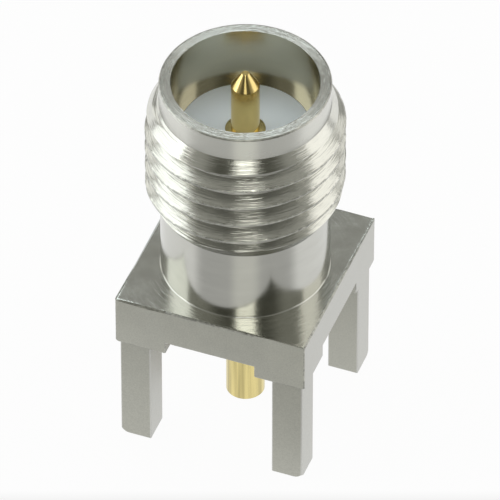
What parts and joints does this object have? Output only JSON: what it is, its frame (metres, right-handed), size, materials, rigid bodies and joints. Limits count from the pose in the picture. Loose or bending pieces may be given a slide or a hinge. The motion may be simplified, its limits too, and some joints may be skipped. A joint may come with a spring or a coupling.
{
  "type": "threaded coaxial circuit board jack",
  "caption": "Upright threaded coaxial jack for a circuit board, with a square base, corner legs, a white insulator and a gold centre pin standing in its socket.",
  "frame": {"origin": "on the connector's axis at the board's surface, where the corner pads stand", "axes": "+Z along the connector's axis, out of the socket; X and Y along the sides of the square base"},
  "size_m": [0.0064, 0.0064, 0.0138],
  "materials": {
    "nickel_plating": "nickel plated, turned and milled",
    "white_insulator": "turned, matt",
    "gold_plating": "gold plated, turned"
  },
  "bodies": {
    "root": {"body": "nickel_plating", "insulator": "white_insulator", "center_contact": "gold_plating"}
  },
  "joints": []
}
